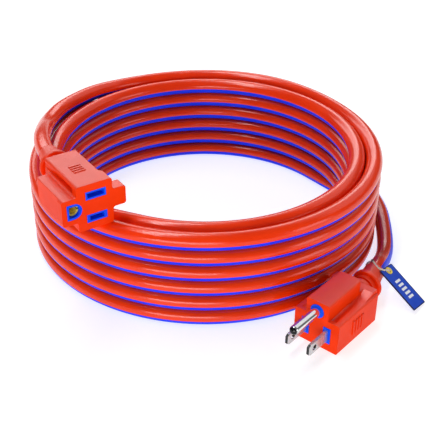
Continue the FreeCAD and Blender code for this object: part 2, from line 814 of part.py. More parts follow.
def make_connector_shell():
    """The outside of the connector: a tall block round the two slots, a lower block beside it
    round the ground hole, a tab on the far side and shallow grips behind the front lip."""
    body = new_body("connector_outside")
    tall = "connector_height / 2"
    low = "ground_lobe_height / 2"
    block = new_sketch(body, "connector_tall_block", "YZ_Plane")
    draw_rectangle(block, "( -1 ) * connector_ground_side", "connector_tab_side", f"( -1 ) * {tall}", tall)
    add_pad(body, block, "connector_length", backwards=True)
    lobe = new_sketch(body, "connector_ground_lobe", "YZ_Plane")
    draw_rectangle(lobe, "( -1 ) * ground_lobe_side", "0", f"( -1 ) * {low}", low)
    add_pad(body, lobe, "ground_lobe_length", backwards=True)
    tab = new_sketch(body, "connector_tab", "YZ_Plane")
    draw_rectangle(tab, "0", "tab_side", "tab_rise - tab_height / 2", "tab_rise + tab_height / 2")
    add_pad(body, tab, "tab_depth", backwards=True)
    round_edges(body, "connector_edge_radius", lambda edge: runs_along(edge, Vector(1, 0, 0)))

    behind_lip = "( -1 ) * front_lip"
    rear = "( -1 ) * connector_length - 1"
    wall = "( -1 ) * connector_ground_side"
    depth = f"{tall} - roof_thickness - {low} - 0.5"
    for name, top in (("upper", f"{tall} - roof_thickness"), ("lower", f"( -1 ) * ( {low} + 0.5 )")):
        recess = new_sketch(body, f"connector_{name}_recess", "XY_Plane", top)
        corners = [
            (rear, f"{wall} - 1"),
            (behind_lip, f"{wall} - 1"),
            (behind_lip, f"{wall} + side_recess_depth"),
            (rear, f"{wall} + 0.2"),
        ]
        draw_polygon(recess, corners)
        add_pocket(body, recess, depth)
    flare = new_sketch(body, "connector_tab_side_recess", "XY_Plane", f"{tall} + 1")
    narrow = "connector_tab_side - tab_side_recess_depth"
    corners = [
        (rear, narrow),
        ("( -1 ) * tab_depth - 3", narrow),
        ("( -1 ) * tab_depth", "connector_tab_side + 0.1"),
        ("( -1 ) * tab_depth", "connector_tab_side + 1"),
        (rear, "connector_tab_side + 1"),
    ]
    draw_polygon(flare, corners)
    add_pocket(body, flare, "connector_height + 2")
    cheek = new_sketch(body, "connector_lobe_recess", "XZ_Plane", "ground_lobe_side + 1")
    draw_rectangle(cheek, rear, behind_lip, f"( -1 ) * {low} - 1", f"{low} + 1")
    add_pocket(body, cheek, "lobe_recess_depth + 1")

    ribs = new_sketch(body, "connector_grip_ribs", "XY_Plane")
    for rib in range(4):
        left = f"( -1 ) * connector_length * 0.58 + 2 * {rib}"
        draw_rectangle(ribs, left, f"{left} + 0.9", "( -1 ) * 4.4", "2")
    add_pad(body, ribs, "connector_height + 0.7", both_ways=True)
    return body


def make_connector():
    make_connector_block("connector_inner_block", "0", True)
    cavity = make_connector_block("connector_cavity", "fit_gap", False)
    make_blade_contact("neutral_contact", 1)
    make_blade_contact("line_contact", -1)
    make_ground_contact()
    cutter = cord_cutter("connector_cord_bore", CONNECTOR_ROUTE, CONNECTOR_FRAME)

    jacket_end = to_frame(CONNECTOR_ROUTE[0], CONNECTOR_FRAME).x + size("fit_gap")
    barrel_end = -size("connector_block_depth") - 6
    beside = size("wire_offset")
    spread = size("blade_spacing") / 2
    tools = [cavity, cutter]
    ends = {
        "connector_neutral_wire": ((barrel_end, 0, spread), (jacket_end, 0, beside)),
        "connector_line_wire": ((barrel_end, 0, -spread), (jacket_end, 0, -beside)),
        "connector_ground_wire": ((barrel_end, -size("ground_offset"), 0), (jacket_end, -beside, 0)),
    }
    for name, (start, end) in ends.items():
        _, bore = make_conductor(name, start, end, CONNECTOR_FRAME)
        tools.append(bore)
        mouth = Vector(*start) - Vector(size("fit_gap"), 0, 0)
        barrel = Part.makeCylinder(1.85 + size("fit_gap"), 6, mouth, Vector(1, 0, 0))
        tools.append(add_solid(name + "_barrel_bore", barrel))
    shell = add_cut("connector_body", make_connector_shell(), tools)
    shell.Placement = CONNECTOR_FRAME
    make_sleeve(
        "connector_strain_relief",
        size("connector_length"),
        "connector_neck_length",
        0,
        CONNECTOR_COLLAR_BEND,
        cutter,
        CONNECTOR_FRAME,
    )


# ---------------------------------------------------------------- tag


def make_tag():
    """A flat card with an eyelet at its near end, hung on a loop of string round the cord."""
    lying = Rotation(Vector(0, 0, 1), TAG_HEADING)
    lying = lying.multiply(Rotation(Vector(0, 1, 0), TAG_SLOPE))
    lying = lying.multiply(Rotation(Vector(1, 0, 0), TAG_ROLL))
    card_frame = Placement(TAG_NEAR_EDGE, lying)

    card = new_body("tag_card")
    outline = new_sketch(card, "tag_outline", "XY_Plane")
    draw_rectangle(outline, "0", "tag_length", "( -1 ) * tag_width / 2", "tag_width / 2")
    add_pad(card, outline, "tag_thickness", both_ways=True)
    round_edges(card, "tag_corner_radius", lambda edge: runs_along(edge, Vector(0, 0, 1)))
    hole = new_sketch(card, "tag_hole", "XY_Plane")
    draw_circle(hole, "eyelet_from_edge", "0", "eyelet_hole_diameter + 0.6 + 2 * fit_gap")
    add_pocket(card, hole, "tag_thickness * 3", both_ways=True)
    card.Placement = card_frame

    eyelet = new_body("tag_eyelet")
    section = new_sketch(eyelet, "eyelet_section", "XZ_Plane")
    inner = "eyelet_hole_diameter / 2"
    tube = "eyelet_hole_diameter / 2 + 0.3"
    rim = "eyelet_rim_diameter / 2"
    face = "tag_thickness / 2 + fit_gap"
    top = "tag_thickness / 2 + 0.35"
    draw_polygon(
        section,
        [
            (inner, f"( -1 ) * ( {top} )"),
            (rim, f"( -1 ) * ( {top} )"),
            (rim, f"( -1 ) * ( {face} )"),
            (tube, f"( -1 ) * ( {face} )"),
            (tube, face),
            (rim, face),
            (rim, top),
            (inner, top),
        ],
    )
    add_revolution(eyelet, section, "V_Axis")
    eyelet_at = Placement(Vector(size("eyelet_from_edge"), 0, 0), Rotation())
    eyelet.Placement = card_frame.multiply(eyelet_at)
    return card_frame


def make_string(card_frame):
    """A loop of string like a belt on two pulleys: wide round the cord, tight round the edge of the
    card, and square to the card where it goes through the eyelet."""
    wide = size("cord_diameter") / 2 + size("string_diameter") / 2 + size("loop_slack")
    tight = size("string_bend_radius")
    down_card = card_frame.Rotation.multVec(Vector(1, 0, 0))
    bend = card_frame.multVec(Vector(size("eyelet_from_edge") - tight, 0, 0))
    across = bend - LOOP_CENTRE
    lean = math.asin((wide - tight) / across.Length)
    across.normalize()
    facing = across.cross(down_card).normalize()
    beside = facing.cross(across)

    def at(centre, radius, angle):
        return centre + across * (radius * math.cos(angle)) + beside * (radius * math.sin(angle))

    leave = math.pi / 2 - lean
    start = at(LOOP_CENTRE, wide, leave)
    opposite = at(LOOP_CENTRE, wide, -leave)
    edges = [
        Part.Arc(start, at(LOOP_CENTRE, wide, math.pi), opposite),
        Part.LineSegment(opposite, at(bend, tight, -leave)),
        Part.Arc(at(bend, tight, -leave), at(bend, tight, 0), at(bend, tight, leave)),
        Part.LineSegment(at(bend, tight, leave), start),
    ]
    spine = Part.Wire([edge.toShape() for edge in edges])
    heading = beside * math.cos(leave) - across * math.sin(leave)
    profile = Part.Wire(Part.makeCircle(size("string_diameter") / 2, start, heading))
    loop = spine.makePipeShell([profile], True, False)
    print("string: bend centre", bend, "hinge axis", facing)
    return add_solid("tag_string", loop)


# ---------------------------------------------------------------- the whole cord

make_coil()
make_free_end("connector_tail", CONNECTOR_ROUTE)
make_free_end("plug_tail", PLUG_ROUTE)
make_plug()
make_connector()
make_string(make_tag())
doc.recompute()

NODES = [
    "cord_coil",
    "connector_tail",
    "plug_tail",
    "plug_body",
    "plug_inner_block",
    "line_blade",
    "neutral_blade",
    "ground_pin",
    "plug_line_wire",
    "plug_neutral_wire",
    "plug_ground_wire",
    "plug_strain_relief",
    "connector_body",
    "connector_inner_block",
    "neutral_contact",
    "line_contact",
    "ground_contact",
    "connector_line_wire",
    "connector_neutral_wire",
    "connector_ground_wire",
    "connector_strain_relief",
    "tag_card",
    "tag_eyelet",
    "tag_string",
]

for item in doc.Objects:
    if "Invalid" in item.State or "Error" in item.State:
        raise ValueError(f"{item.Label} did not build: {item.State}")

os.makedirs("parts", exist_ok=True)
for node in NODES:
    (part,) = [item for item in doc.Objects if item.Label == node]
    shape = part.Shape
    if shape.isNull() or not shape.isValid():
        raise ValueError(f"{node} has no valid shape")
    low, high = shape.BoundBox.ZMin, shape.BoundBox.ZMax
    print(f"{node}: {len(shape.Solids)} solid, {shape.Volume:.1f} mm3, z {low:.2f} to {high:.2f}")
    shape.exportStep(f"parts/{node}.step")
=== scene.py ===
"""Looks for the grounded extension cord: the cord itself as one striped tube wound in its coil, the
moulded plug and connector, the string and the tag, with a plain studio round them. Metres, +Z up."""

import bpy
import math
from mathutils import Euler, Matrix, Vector


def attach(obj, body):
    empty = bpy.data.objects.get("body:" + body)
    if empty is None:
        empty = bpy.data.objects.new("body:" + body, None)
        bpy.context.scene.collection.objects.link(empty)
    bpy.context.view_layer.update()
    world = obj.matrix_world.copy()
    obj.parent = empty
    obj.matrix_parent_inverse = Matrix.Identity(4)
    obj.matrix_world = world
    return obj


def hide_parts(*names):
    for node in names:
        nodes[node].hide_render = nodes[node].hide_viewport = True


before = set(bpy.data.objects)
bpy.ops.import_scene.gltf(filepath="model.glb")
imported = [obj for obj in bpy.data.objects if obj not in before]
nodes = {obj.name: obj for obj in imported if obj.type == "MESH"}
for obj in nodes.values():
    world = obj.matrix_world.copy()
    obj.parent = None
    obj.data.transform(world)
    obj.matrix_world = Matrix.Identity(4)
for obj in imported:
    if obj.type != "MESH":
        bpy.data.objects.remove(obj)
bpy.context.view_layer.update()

CORD_RADIUS = 0.0046
ROW_STEP = 0.0092

# the cord's centre line outside the coil, as in the CAD model
CONNECTOR_ROUTE = [
    (-0.06993, -0.06406, 0.0681),
    (-0.07940, -0.04947, 0.0681),
    (-0.0876, -0.0301, 0.0673),
    (-0.0908, -0.0158, 0.0660),
    (-0.0921, -0.0016, 0.0629),
    (-0.0930, 0.0120, 0.0594),
    (-0.0916, 0.0255, 0.0578),
    (-0.0882, 0.0390, 0.0570),
    (-0.0819, 0.0514, 0.0562),
]
PLUG_ROUTE = [
    (0.07454, -0.09122, 0.01135),
    (0.08528, -0.07883, 0.01135),
    (0.0936, -0.0617, 0.0107),
    (0.0986, -0.0504, 0.0069),
    (0.1025, -0.0380, 0.0049),
    (0.1047, -0.0245, 0.00465),
    (0.1061, -0.0095, 0.00465),
    (0.1068, 0.0070, 0.00465),
    (0.1030, 0.0276, 0.0054),
    (0.0950, 0.0484, 0.0104),
    (0.0828, 0.0671, 0.0189),
    (0.0670, 0.0828, 0.0286),
    (0.0482, 0.0946, 0.0368),
    (0.0270, 0.1006, 0.0410),
    (0.0053, 0.1004, 0.0414),
    (-0.0153, 0.0963, 0.0414),
    (-0.0346, 0.0902, 0.0414),
]


def smooth(low, high, x):
    """0 below low, 1 above high, and an even curve between them."""
    t = min(max((x - low) / (high - low), 0), 1)
    return t * t * (3 - 2 * t)


# ---------------------------------------------------------------- camera


CAMERA_AIM = (0, 0, 0.00138)
CAMERA_DISTANCE = 0.5476
CAMERA_ELEVATION = math.radians(32.67)
CAMERA_LENS = 75.94
CAMERA_SHIFT = (0.0191, 0.0143)


def make_camera():
    back = Vector((0, -math.cos(CAMERA_ELEVATION), math.sin(CAMERA_ELEVATION)))
    data = bpy.data.cameras.new("camera")
    data.lens = CAMERA_LENS
    data.sensor_width = 36
    data.shift_x, data.shift_y = CAMERA_SHIFT
    data.clip_start = 0.01
    camera = bpy.data.objects.new("camera", data)
    camera.location = Vector(CAMERA_AIM) + back * CAMERA_DISTANCE
    camera.rotation_mode = "QUATERNION"
    camera.rotation_quaternion = (-back).to_track_quat("-Z", "Y")
    bpy.context.scene.collection.objects.link(camera)
    bpy.context.scene.camera = camera


make_camera()


# ---------------------------------------------------------------- node helpers


def new_material(name):
    material = bpy.data.materials.new(name)
    material.use_nodes = True
    tree = material.node_tree
    shader = tree.nodes["Principled BSDF"]
    return material, tree, shader


def link(tree, source, output, target, entry):
    tree.links.new(source.outputs[output], target.inputs[entry])


def noise(tree, scale, detail=4.0, rough=0.5, stretch=None):
    """A noise in the object's own metres, stretched along an axis if asked."""
    where = tree.nodes.new("ShaderNodeTexCoord")
    mapping = tree.nodes.new("ShaderNodeMapping")
    mapping.inputs["Scale"].default_value = stretch or (1, 1, 1)
    texture = tree.nodes.new("ShaderNodeTexNoise")
    texture.inputs["Scale"].default_value = scale
    texture.inputs["Detail"].default_value = detail
    texture.inputs["Roughness"].default_value = rough
    link(tree, where, "Object", mapping, "Vector")
    link(tree, mapping, "Vector", texture, "Vector")
    return texture


def ramp(tree, source, output, stops):
    """A colour ramp of (position, colour) stops."""
    node = tree.nodes.new("ShaderNodeValToRGB")
    while len(node.color_ramp.elements) < len(stops):
        node.color_ramp.elements.new(0.5)
    for element, (position, colour) in zip(node.color_ramp.elements, stops):
        element.position = position
        element.color = (*colour, 1)
    link(tree, source, output, node, "Fac")
    return node


def spread(tree, source, output, low, high, start=0.0, full=1.0):
    """Maps start..full to low..high."""
    node = tree.nodes.new("ShaderNodeMapRange")
    node.inputs["From Min"].default_value = start
    node.inputs["From Max"].default_value = full
    node.inputs["To Min"].default_value = low
    node.inputs["To Max"].default_value = high
    link(tree, source, output, node, "Value")
    return node


def arithmetic(tree, operation, first, second=0.0, third=0.0):
    """A math node on sockets or plain values."""
    node = tree.nodes.new("ShaderNodeMath")
    node.operation = operation
    for entry, value in zip(node.inputs, (first, second, third)):
        if isinstance(value, (int, float)):
            entry.default_value = value
        else:
            tree.links.new(value, entry)
    return node.outputs[0]


def blend(tree, factor, first, second):
    """A mix of two colours, each a socket or a plain colour."""
    node = tree.nodes.new("ShaderNodeMix")
    node.data_type = "RGBA"
    tree.links.new(factor, node.inputs["Factor"])
    for entry, value in ((node.inputs["A"], first), (node.inputs["B"], second)):
        if isinstance(value, tuple):
            entry.default_value = (*value, 1)
        else:
            tree.links.new(value, entry)
    return node.outputs["Result"]


def add_bump(tree, shader, textures, bevel=0.0):
    """Bumps from (texture, depth in metres, strength) one on another, over rounded edges."""
    previous = None
    if bevel:
        previous = tree.nodes.new("ShaderNodeBevel")
        previous.samples = 4
        previous.inputs["Radius"].default_value = bevel
    for texture, output, depth, strength in textures:
        bump = tree.nodes.new("ShaderNodeBump")
        bump.inputs["Distance"].default_value = depth
        bump.inputs["Strength"].default_value = strength
        link(tree, texture, output, bump, "Height")
        if previous:
            link(tree, previous, "Normal", bump, "Normal")
        previous = bump
    if previous:
        link(tree, previous, "Normal", shader, "Normal")


# ---------------------------------------------------------------- materials


def add_painted_sheen(tree, shader, upright, level):
    """Reflection strength set by which way the face points, from upright to level: a painted sheen that
    stands in for how the light falls, so level faces catch more reflection than upright ones.
    """
    where = tree.nodes.new("ShaderNodeTexCoord")
    split = tree.nodes.new("ShaderNodeSeparateXYZ")
    link(tree, where, "Normal", split, "Vector")
    amount = spread(tree, split, "Z", upright, level, 0.3, 0.85)
    link(tree, amount, "Result", shader, "Specular IOR Level")


def moulded(name, dark, bright, rough_low, rough_high, grain, bevel=0.0, painted_sheen=(0.1, 0.1)):
    """Soft moulded vinyl: a slow drift in colour, a fine moulded grain, an uneven gloss and a painted
    sheen that follows which way the face points.
    """
    material, tree, shader = new_material(name)
    drift = noise(tree, 55, 3)
    colour = ramp(tree, drift, "Fac", [(0.3, dark), (0.7, bright)])
    link(tree, colour, "Color", shader, "Base Color")
    smear = noise(tree, 160, 4, 0.6)
    gloss = spread(tree, smear, "Fac", rough_low, rough_high)
    link(tree, gloss, "Result", shader, "Roughness")
    # painted sheen: more reflection on level faces than on upright ones, standing in for how the light
    # falls
    add_painted_sheen(tree, shader, *painted_sheen)
    fine = noise(tree, 2600, 2)
    slow = noise(tree, 220, 2)
    add_bump(tree, shader, [(fine, "Fac", 0.00004, grain), (slow, "Fac", 0.0003, 0.25)], bevel)
    return material


def paint_dark_reflection(tree, colour, heading, start, full, dark):
    """The colour, dark where the surface faces along the heading: a painted dark reflection on the
    faces that point that way.
    """
    where = tree.nodes.new("ShaderNodeTexCoord")
    facing = tree.nodes.new("ShaderNodeVectorMath")
    facing.operation = "DOT_PRODUCT"
    facing.inputs[1].default_value = heading
    link(tree, where, "Normal", facing, 0)
    amount = spread(tree, facing, "Value", 0, 1, start, full)
    return blend(tree, amount.outputs["Result"], colour, dark)


def plated(name, tint, rough, metallic=1.0, ends=None):
    """Bright plate with faint drawing lines and a little tarnish, with a painted dark reflection on its
    forward faces if asked.
    """
    material, tree, shader = new_material(name)
    shader.inputs["Metallic"].default_value = metallic
    lines = noise(tree, 420, 3, 0.6, (1, 1, 0.25))
    shade = tuple(channel * 0.92 for channel in tint)
    colour = ramp(tree, lines, "Fac", [(0.35, shade), (0.65, tint)]).outputs["Color"]
    # painted dark reflection on the faces that point along the heading
    if ends:
        colour = paint_dark_reflection(tree, colour, *ends)
    tree.links.new(colour, shader.inputs["Base Color"])
    gloss = spread(tree, lines, "Fac", rough * 0.7, rough * 1.4)
    link(tree, gloss, "Result", shader, "Roughness")
    add_bump(tree, shader, [(lines, "Fac", 0.00002, 0.12)], 0.0002)
    return material


ORANGE_DARK = (0.86, 0.033, 0.0)
ORANGE_BRIGHT = (0.95, 0.043, 0.001)
BLUE_DARK = (0.002, 0.03, 0.86)
BLUE_BRIGHT = (0.004, 0.045, 0.98)

jacket = moulded("jacket_orange", ORANGE_DARK, ORANGE_BRIGHT, 0.14, 0.26, 0.3, painted_sheen=(0.4, 0.5))
stripe = moulded("jacket_stripe", BLUE_DARK, BLUE_BRIGHT, 0.3, 0.45, 0.3)
# the housing's painted sheen: little reflection on upright faces, much on level ones
housing = moulded(
    "moulded_orange", ORANGE_DARK, ORANGE_BRIGHT, 0.3, 0.45, 0.6, bevel=0.0004, painted_sheen=(0.07, 0.85)
)
block_blue = moulded("moulded_blue", (0.001, 0.06, 0.9), (0.002, 0.09, 0.98), 0.3, 0.45, 0.5, 0.0002)
# the way that the plug's contacts point, and the colour of the painted dark reflection on their forward
# faces
PLUG_AHEAD = (-0.6547, -0.7559, 0)
PAINTED_DARK_REFLECTION = (0.03, 0.03, 0.03)
blade_plate = plated("blade_plate", (0.6, 0.6, 0.61), 0.24, 0.6, (PLUG_AHEAD, 0.35, 0.6, PAINTED_DARK_REFLECTION))
pin_plate = plated("pin_plate", (0.85, 0.85, 0.86), 0.12, 0.95, (PLUG_AHEAD, 0.2, 0.5, PAINTED_DARK_REFLECTION))
brass = plated("brass_strip", (1.0, 0.78, 0.12), 0.24, 0.15)
black_wire = moulded("wire_black", (0.012, 0.012, 0.012), (0.02, 0.02, 0.02), 0.35, 0.5, 0.4)
white_wire = moulded("wire_white", (0.75, 0.74, 0.7), (0.82, 0.81, 0.77), 0.35, 0.5, 0.4)
green_wire = moulded("wire_green", (0.01, 0.2, 0.03), (0.02, 0.28, 0.05), 0.35, 0.5, 0.4)

# the card's own frame: its near edge's middle, and how it lies
CARD_PLACE = (0.0963, -0.0691, 0.0153)
CARD_TURN = (math.radians(-8), math.radians(30.3), math.radians(-43.9))
CARD_LENGTH = 0.0271
CARD_WIDTH = 0.012
CARD_BORDER = 0.00055
# the row of marks: its middle, half of its length and of its height, and the marks along it
MARKS_MIDDLE = 0.0149
MARKS_HALF_LENGTH = 0.0061
MARKS_HALF_HEIGHT = 0.0023
MARK_START = 0.0097
MARK_HALF_STEP = 0.0013
MARK_HALF_WIDTH = 0.00072


def printed_card(name):
    """A glossy blue card with a navy edge and a row of plain white marks, drawn in the card's own
    metres, over a faint paper grain."""
    material, tree, shader = new_material(name)
    where = tree.nodes.new("ShaderNodeTexCoord")
    local = tree.nodes.new("ShaderNodeMapping")
    local.vector_type = "TEXTURE"
    local.inputs["Location"].default_value = CARD_PLACE
    local.inputs["Rotation"].default_value = CARD_TURN
    link(tree, where, "Object", local, "Vector")
    split = tree.nodes.new("ShaderNodeSeparateXYZ")
    link(tree, local, "Vector", split, "Vector")
    along, across = split.outputs["X"], arithmetic(tree, "ABSOLUTE", split.outputs["Y"])
    to_side = arithmetic(tree, "SUBTRACT", CARD_WIDTH / 2, across)
    to_end = arithmetic(tree, "MINIMUM", along, arithmetic(tree, "SUBTRACT", CARD_LENGTH, along))
    margin = arithmetic(tree, "MINIMUM", to_side, to_end)
    edge = arithmetic(tree, "LESS_THAN", margin, CARD_BORDER)
    from_middle = arithmetic(tree, "ABSOLUTE", arithmetic(tree, "SUBTRACT", along, MARKS_MIDDLE))
    within = arithmetic(tree, "LESS_THAN", from_middle, MARKS_HALF_LENGTH)
    low_enough = arithmetic(tree, "LESS_THAN", across, MARKS_HALF_HEIGHT)
    wave = arithmetic(tree, "PINGPONG", arithmetic(tree, "SUBTRACT", along, MARK_START), MARK_HALF_STEP)
    mark = arithmetic(tree, "LESS_THAN", wave, MARK_HALF_WIDTH)
    marks = arithmetic(tree, "MULTIPLY", arithmetic(tree, "MULTIPLY", within, low_enough), mark)
    drift = noise(tree, 130, 3)
    paper = ramp(tree, drift, "Fac", [(0.3, (0.004, 0.055, 0.52)), (0.7, (0.008, 0.075, 0.62))])
    inked = blend(tree, marks, paper.outputs["Color"], (0.9, 0.91, 0.93))
    coloured = blend(tree, edge, inked, (0.002, 0.006, 0.07))
    tree.links.new(coloured, shader.inputs["Base Color"])
    gloss = spread(tree, noise(tree, 400, 3), "Fac", 0.3, 0.5)
    link(tree, gloss, "Result", shader, "Roughness")
    shader.inputs["Specular IOR Level"].default_value = 0.35
    add_bump(tree, shader, [(noise(tree, 1500, 3), "Fac", 0.00003, 0.4)])
    return material


card_print = printed_card("card_print")

FINISHES = {
    "plug_body": housing,
    "plug_strain_relief": housing,
    "connector_body": housing,
    "connector_strain_relief": housing,
    "plug_inner_block": block_blue,
    "connector_inner_block": block_blue,
    "line_blade": blade_plate,
    "neutral_blade": blade_plate,
    "ground_pin": pin_plate,
    "line_contact": brass,
    "neutral_contact": brass,
    "ground_contact": brass,
    "plug_line_wire": black_wire,
    "connector_line_wire": black_wire,
    "plug_neutral_wire": white_wire,
    "connector_neutral_wire": white_wire,
    "plug_ground_wire": green_wire,
    "connector_ground_wire": green_wire,
    "tag_eyelet": brass,
    "tag_card": card_print,
}
for node_name, finish in FINISHES.items():
    for slot in nodes[node_name].material_slots:
        slot.material = finish


# ---------------------------------------------------------------- the cord's route

# the radius of the outer layer of turns and of the inner one
OUTER = 0.0966
INNER = 0.0869
# the layers and rows that the cord fills in turn, each with the stretch, in degrees of winding,
# over which the cord moves into it from the one before
WINDING = [
    (OUTER, 5, 0, 0),
    (INNER, 5, 298, 338),
    (INNER, 4, 646, 678),
    (INNER, 3, 1004, 1036),
    (INNER, 2, 1362, 1394),
    (INNER, 1, 1720, 1752),
    (INNER, 0, 2078, 2110),
    (OUTER, 0, 2294, 2321),
    (OUTER, 1, 2620, 2652),
    (OUTER, 2, 2974, 3006),
    (OUTER, 3, 3328, 3360),
    (OUTER, 4, 3682, 3714),
]
# the azimuth where the winding is counted from, and the stretch of it that has control points
WINDING_START = 166
FIRST_TURNED = 30
LAST_TURNED = 3996
POINTS_PER_TURN = 24
# how much of the step down each inner row takes
SETTLE = (0, 1, 0.75, 0.5, 0.25, 0)
# the first turn, loose at the back: how far it is out, and up in rows, with what it still has to
# come down from the connector
LOOSE_OUT = 0.002
LOOSE_UP = 0.13
STILL_UP = 0.47
# how far apart the outer turns lie under it, as a share of their height
PARTING = 0.14


def settled(row, azimuth):
    """How far an inner row drops, in rows, where the bottom row inside it ends early."""
    around = (azimuth + 180) % 360 - 180
    gap = smooth(20, -40, around) if around > -70 else smooth(-120, -70, around)
    return SETTLE[round(row)] * gap if row >= 1 else 0


def winding_point(turned):
    """The control point of the coil's spline after so many degrees of winding."""
    radius, row = WINDING[0][:2]
    for layer, level, begins, ends in WINDING[1:]:
        moved = smooth(begins, ends, turned)
        radius += (layer - radius) * moved
        row += (level - row) * moved
    azimuth = WINDING_START - turned
    if abs(radius - INNER) < 0.001:
        row -= settled(row, azimuth)
    if turned < 180:
        loose = smooth(30, 70, azimuth)
        radius += LOOSE_OUT * loose * smooth(150, 118, azimuth)
        row += LOOSE_UP * loose + STILL_UP * smooth(114, 146, azimuth)
    else:
        around = azimuth % 360
        under = smooth(111, 143, around) * smooth(205, 185, around)
        row *= 1 + PARTING * under * smooth(INNER, OUTER, radius)
    swell = radius / math.cos(math.radians(180 / POINTS_PER_TURN))
    angle = math.radians(azimuth)
    return (swell * math.cos(angle), swell * math.sin(angle), CORD_RADIUS + ROW_STEP * row)


def cord_controls():
    """Every control point, from inside the connector to inside the plug, whose own route starts
    two points inside the coil."""
    step = 360 // POINTS_PER_TURN
    coil = [winding_point(turned) for turned in range(FIRST_TURNED, LAST_TURNED, step)]
    return CONNECTOR_ROUTE + coil + PLUG_ROUTE[::-1][2:]


def spline_line(controls, fineness):
    """The smooth line that a NURBS spline of those control points follows."""
    curve = bpy.data.curves.new("line", "CURVE")
    curve.dimensions = "3D"
    curve.resolution_u = fineness
    spline = curve.splines.new("NURBS")
    spline.points.add(len(controls) - 1)
    for point, place in zip(spline.points, controls):
        point.co = (*place, 1)
    spline.order_u = 3
    spline.use_endpoint_u = True
    holder = bpy.data.objects.new("line", curve)
    bpy.context.scene.collection.objects.link(holder)
    bpy.context.view_layer.update()
    mesh = bpy.data.meshes.new_from_object(holder)
    line = [vertex.co.copy() for vertex in mesh.vertices]
    bpy.data.objects.remove(holder)
    bpy.data.curves.remove(curve)
    bpy.data.meshes.remove(mesh)
    return line


def tangents(line):
    """The direction of the line at each of its points."""
    found = []
    last = len(line) - 1
    for index in range(len(line)):
        before = line[max(index - 1, 0)]
        after = line[min(index + 1, last)]
        found.append((after - before).normalized())
    return found


# the stripe's edges round the section, in degrees from straight outward, how far it turns along
# the end that goes to the plug, and the stretch, back from the plug, over which it turns
STRIPE_FROM = -174
STRIPE_TO = -9
STRIPE_TURN = 58
STRIPE_TURN_STARTS = 0.30
STRIPE_TURN_ENDS = 0.17
STRIPE_SIDES = 16
JACKET_SIDES = 16


def section_angles():
    """The angles of the section's corners, in degrees: the stripe's first, then the jacket's."""
    width = STRIPE_TO - STRIPE_FROM
    angles = [STRIPE_FROM + width * i / STRIPE_SIDES for i in range(STRIPE_SIDES)]
    return angles + [STRIPE_TO + (360 - width) * i / JACKET_SIDES for i in range(JACKET_SIDES)]


def make_cord():
    """The whole cord as one tube. Its stripe keeps to the lower half of the section all round the
    coil and turns up on the outside along the end that goes to the plug."""
    line = spline_line(cord_controls(), 8)
    along = tangents(line)
    travelled = [0.0]
    for before, after in zip(line, line[1:]):
        travelled.append(travelled[-1] + (after - before).length)
    total = travelled[-1]
    angles = section_angles()
    sides = len(angles)

    vertices = []
    for place, direction, distance in zip(line, along, travelled):
        outward = Vector((place.x, place.y, 0)).normalized()
        outward = (outward - direction * outward.dot(direction)).normalized()
        upward = direction.cross(outward)
        twist = STRIPE_TURN * smooth(total - STRIPE_TURN_STARTS, total - STRIPE_TURN_ENDS, distance)
        for angle in angles:
            turn = math.radians(angle + twist)
            offset = outward * math.cos(turn) + upward * math.sin(turn)
            vertices.append(place + offset * CORD_RADIUS)
    faces = []
    slots = []
    for ring in range(len(line) - 1):
        for side in range(sides):
            following = (side + 1) % sides
            a = ring * sides + side
            b = ring * sides + following
            faces.append((a, a + sides, b + sides, b))
            slots.append(1 if side < STRIPE_SIDES else 0)
    faces.append(tuple(range(sides)))
    faces.append(tuple((len(line) - 1) * sides + side for side in reversed(range(sides))))
    slots += [0, 0]
    mesh = bpy.data.meshes.new("cord")
    mesh.from_pydata(vertices, [], faces)
    mesh.materials.append(jacket)
    mesh.materials.append(stripe)
    mesh.polygons.foreach_set("material_index", slots)
    mesh.polygons.foreach_set("use_smooth", [True] * len(faces))
    mesh.update()
    cord = bpy.data.objects.new("cord", mesh)
    bpy.context.scene.collection.objects.link(cord)
    print("cord length", round(total, 3), "points", len(line))
    return cord, line, total


cord, cord_line, cord_length = make_cord()
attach(cord, "cord")
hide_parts("cord_coil", "connector_tail", "plug_tail")


# ---------------------------------------------------------------- string and knot

# the string's loop, from the knot over the cord, down through the eyelet and back under the cord
STRING_ROUTE = [
    (0.0900, -0.0656, 0.0172),
    (0.0905, -0.0680, 0.0171),
    (0.0913, -0.0699, 0.0169),
    (0.0925, -0.0716, 0.0163),
    (0.0945, -0.0727, 0.0162),
    (0.0963, -0.0720, 0.0155),
    (0.0981, -0.0710, 0.0149),
    (0.0981, -0.0706, 0.0139),
    (0.0973, -0.0702, 0.0129),
    (0.0964, -0.0693, 0.0110),
    (0.0956, -0.0682, 0.0080),
    (0.0931, -0.0663, 0.0054),
    (0.0895, -0.0642, 0.0060),
    (0.0871, -0.0632, 0.0096),
    (0.0872, -0.0632, 0.0134),
    (0.0885, -0.0643, 0.0159),
    (0.0900, -0.0656, 0.0172),
]


def fibre(name, dark, bright):
    """Twisted cotton: uneven colour and a fuzzy, matt surface."""
    material, tree, shader = new_material(name)
    colour = ramp(tree, noise(tree, 900, 4, 0.7), "Fac", [(0.3, dark), (0.7, bright)])
    link(tree, colour, "Color", shader, "Base Color")
    shader.inputs["Roughness"].default_value = 0.85
    shader.inputs["Specular IOR Level"].default_value = 0.2
    add_bump(tree, shader, [(noise(tree, 5000, 3), "Fac", 0.00008, 0.8)])
    return material


def across_line(along):
    """For each tangent, a vector square to it that turns as little as it can from one to the next."""
    side = along[0].orthogonal().normalized()
    found = []
    for direction in along:
        side = (side - direction * side.dot(direction)).normalized()
        found.append(side.copy())
    return found


